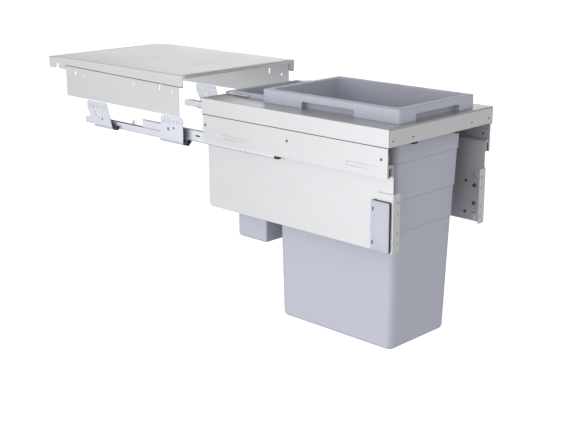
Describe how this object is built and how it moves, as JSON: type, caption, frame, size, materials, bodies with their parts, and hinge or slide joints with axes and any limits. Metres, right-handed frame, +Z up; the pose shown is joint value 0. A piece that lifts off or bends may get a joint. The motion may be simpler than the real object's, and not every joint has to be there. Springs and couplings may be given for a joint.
{
  "type": "cabinet pull-out waste bin unit",
  "caption": "Sheet-steel frame on full-extension runners that slides out from under a fixed cover plate, carrying a large waste bin in front and a small one behind.",
  "frame": {"origin": "centre of the pull-out frame's front face, where the cabinet door is fastened, with the unit fully extended", "axes": "+Y runs into the cabinet, along the runners; +Z is up; +X is to the right seen from the front"},
  "size_m": [0.364, 1.12, 0.5375],
  "materials": {
    "sheet_steel": "satin sheet steel",
    "zinc_steel": "bluish zinc plating",
    "dark_steel": "dark steel",
    "bin_plastic": "fine-grained moulded plastic",
    "black_plastic": "matt",
    "white_plastic": "matt"
  },
  "bodies": {
    "root": {"cover_plate": "sheet_steel", "side_plate_left": "sheet_steel", "runner_bracket_front_left": "zinc_steel", "runner_bracket_rear_left": "zinc_steel", "cabinet_rail_left": "zinc_steel", "rail_clip_front_left": "black_plastic", "rail_clip_rear_left": "black_plastic", "rail_catch_left": "white_plastic", "side_plate_right": "sheet_steel", "runner_bracket_front_right": "zinc_steel", "runner_bracket_rear_right": "zinc_steel", "cabinet_rail_right": "zinc_steel", "rail_clip_front_right": "black_plastic", "rail_clip_rear_right": "black_plastic", "rail_catch_right": "white_plastic"},
    "pullout": {"bin_frame": "sheet_steel", "side_skin_left": "sheet_steel", "side_panel_left": "sheet_steel", "drawer_rail_left": "zinc_steel", "adjuster_cover_left": "bin_plastic", "cover_screw_upper_left": "dark_steel", "cover_screw_lower_left": "dark_steel", "lock_nut_left": "zinc_steel", "bin_catch_left": "black_plastic", "skin_rivet_front_left": "dark_steel", "skin_rivet_middle_left": "dark_steel", "skin_rivet_rear_left": "dark_steel", "side_skin_right": "sheet_steel", "side_panel_right": "sheet_steel", "drawer_rail_right": "zinc_steel", "adjuster_cover_right": "bin_plastic", "cover_screw_upper_right": "dark_steel", "cover_screw_lower_right": "dark_steel", "lock_nut_right": "zinc_steel", "bin_catch_right": "black_plastic", "skin_rivet_front_right": "dark_steel", "skin_rivet_middle_right": "dark_steel", "skin_rivet_rear_right": "dark_steel"},
    "big_bin": {"big_bin": "bin_plastic"},
    "small_bin": {"small_bin": "bin_plastic"},
    "bail": {"small_bin_bail": "zinc_steel"},
    "middle_slide_left": {"middle_rail_left": "zinc_steel", "middle_rail_cap_left": "black_plastic"},
    "lower_cage_left": {"lower_roller_cage_left": "white_plastic"},
    "upper_cage_left": {"upper_roller_cage_left": "white_plastic"},
    "door_bracket_left": {"door_bracket_left": "sheet_steel", "clamp_screw_upper_left": "dark_steel", "clamp_screw_lower_left": "dark_steel"},
    "height_cam_left": {"height_cam_left": "zinc_steel"},
    "middle_slide_right": {"middle_rail_right": "zinc_steel", "middle_rail_cap_right": "black_plastic"},
    "lower_cage_right": {"lower_roller_cage_right": "white_plastic"},
    "upper_cage_right": {"upper_roller_cage_right": "white_plastic"},
    "door_bracket_right": {"door_bracket_right": "sheet_steel", "clamp_screw_upper_right": "dark_steel", "clamp_screw_lower_right": "dark_steel"},
    "height_cam_right": {"height_cam_right": "zinc_steel"}
  },
  "joints": [
    {"name": "pullout_slide", "type": "slide", "parent": "root", "child": "pullout", "axis": [0, -1, 0], "range_m": [-0.582, 0]},
    {"name": "middle_slide_left_run", "type": "slide", "parent": "root", "child": "middle_slide_left", "axis": [0, -1, 0], "range_m": [-0.291, 0]},
    {"name": "lower_cage_left_run", "type": "slide", "parent": "root", "child": "lower_cage_left", "axis": [0, -1, 0], "range_m": [-0.1455, 0]},
    {"name": "upper_cage_left_run", "type": "slide", "parent": "root", "child": "upper_cage_left", "axis": [0, -1, 0], "range_m": [-0.4365, 0]},
    {"name": "door_bracket_left_height", "type": "slide", "parent": "pullout", "child": "door_bracket_left", "axis": [0, 0, 1], "range_m": [-0.002, 0.002]},
    {"name": "height_cam_left_turn", "type": "hinge", "parent": "pullout", "child": "height_cam_left", "pos_m": [-0.155, 0.024, -0.138], "axis": [1, 0, 0], "range_deg": [-45, 45]},
    {"name": "middle_slide_right_run", "type": "slide", "parent": "root", "child": "middle_slide_right", "axis": [0, -1, 0], "range_m": [-0.291, 0]},
    {"name": "lower_cage_right_run", "type": "slide", "parent": "root", "child": "lower_cage_right", "axis": [0, -1, 0], "range_m": [-0.1455, 0]},
    {"name": "upper_cage_right_run", "type": "slide", "parent": "root", "child": "upper_cage_right", "axis": [0, -1, 0], "range_m": [-0.4365, 0]},
    {"name": "door_bracket_right_height", "type": "slide", "parent": "pullout", "child": "door_bracket_right", "axis": [0, 0, 1], "range_m": [-0.002, 0.002]},
    {"name": "height_cam_right_turn", "type": "hinge", "parent": "pullout", "child": "height_cam_right", "pos_m": [0.155, 0.024, -0.138], "axis": [1, 0, 0], "range_deg": [-45, 45]},
    {"name": "big_bin_lift", "type": "slide", "parent": "pullout", "child": "big_bin", "axis": [0, 0, 1], "range_m": [0, 0.52]},
    {"name": "small_bin_lift", "type": "slide", "parent": "pullout", "child": "small_bin", "axis": [0, 0, 1], "range_m": [0, 0.36]},
    {"name": "bail_swing", "type": "hinge", "parent": "small_bin", "child": "bail", "pos_m": [0, 0.455, 0.0225], "axis": [1, 0, 0], "range_deg": [0, 110]}
  ],
  "couplings": [
    {"joint": "middle_slide_left_run", "follows": "pullout_slide", "ratio": 0.5},
    {"joint": "lower_cage_left_run", "follows": "pullout_slide", "ratio": 0.25},
    {"joint": "upper_cage_left_run", "follows": "pullout_slide", "ratio": 0.75},
    {"joint": "height_cam_left_turn", "follows": "door_bracket_left_height", "rad_per_m": 392},
    {"joint": "middle_slide_right_run", "follows": "pullout_slide", "ratio": 0.5},
    {"joint": "lower_cage_right_run", "follows": "pullout_slide", "ratio": 0.25},
    {"joint": "upper_cage_right_run", "follows": "pullout_slide", "ratio": 0.75},
    {"joint": "height_cam_right_turn", "follows": "door_bracket_right_height", "rad_per_m": 392}
  ]
}
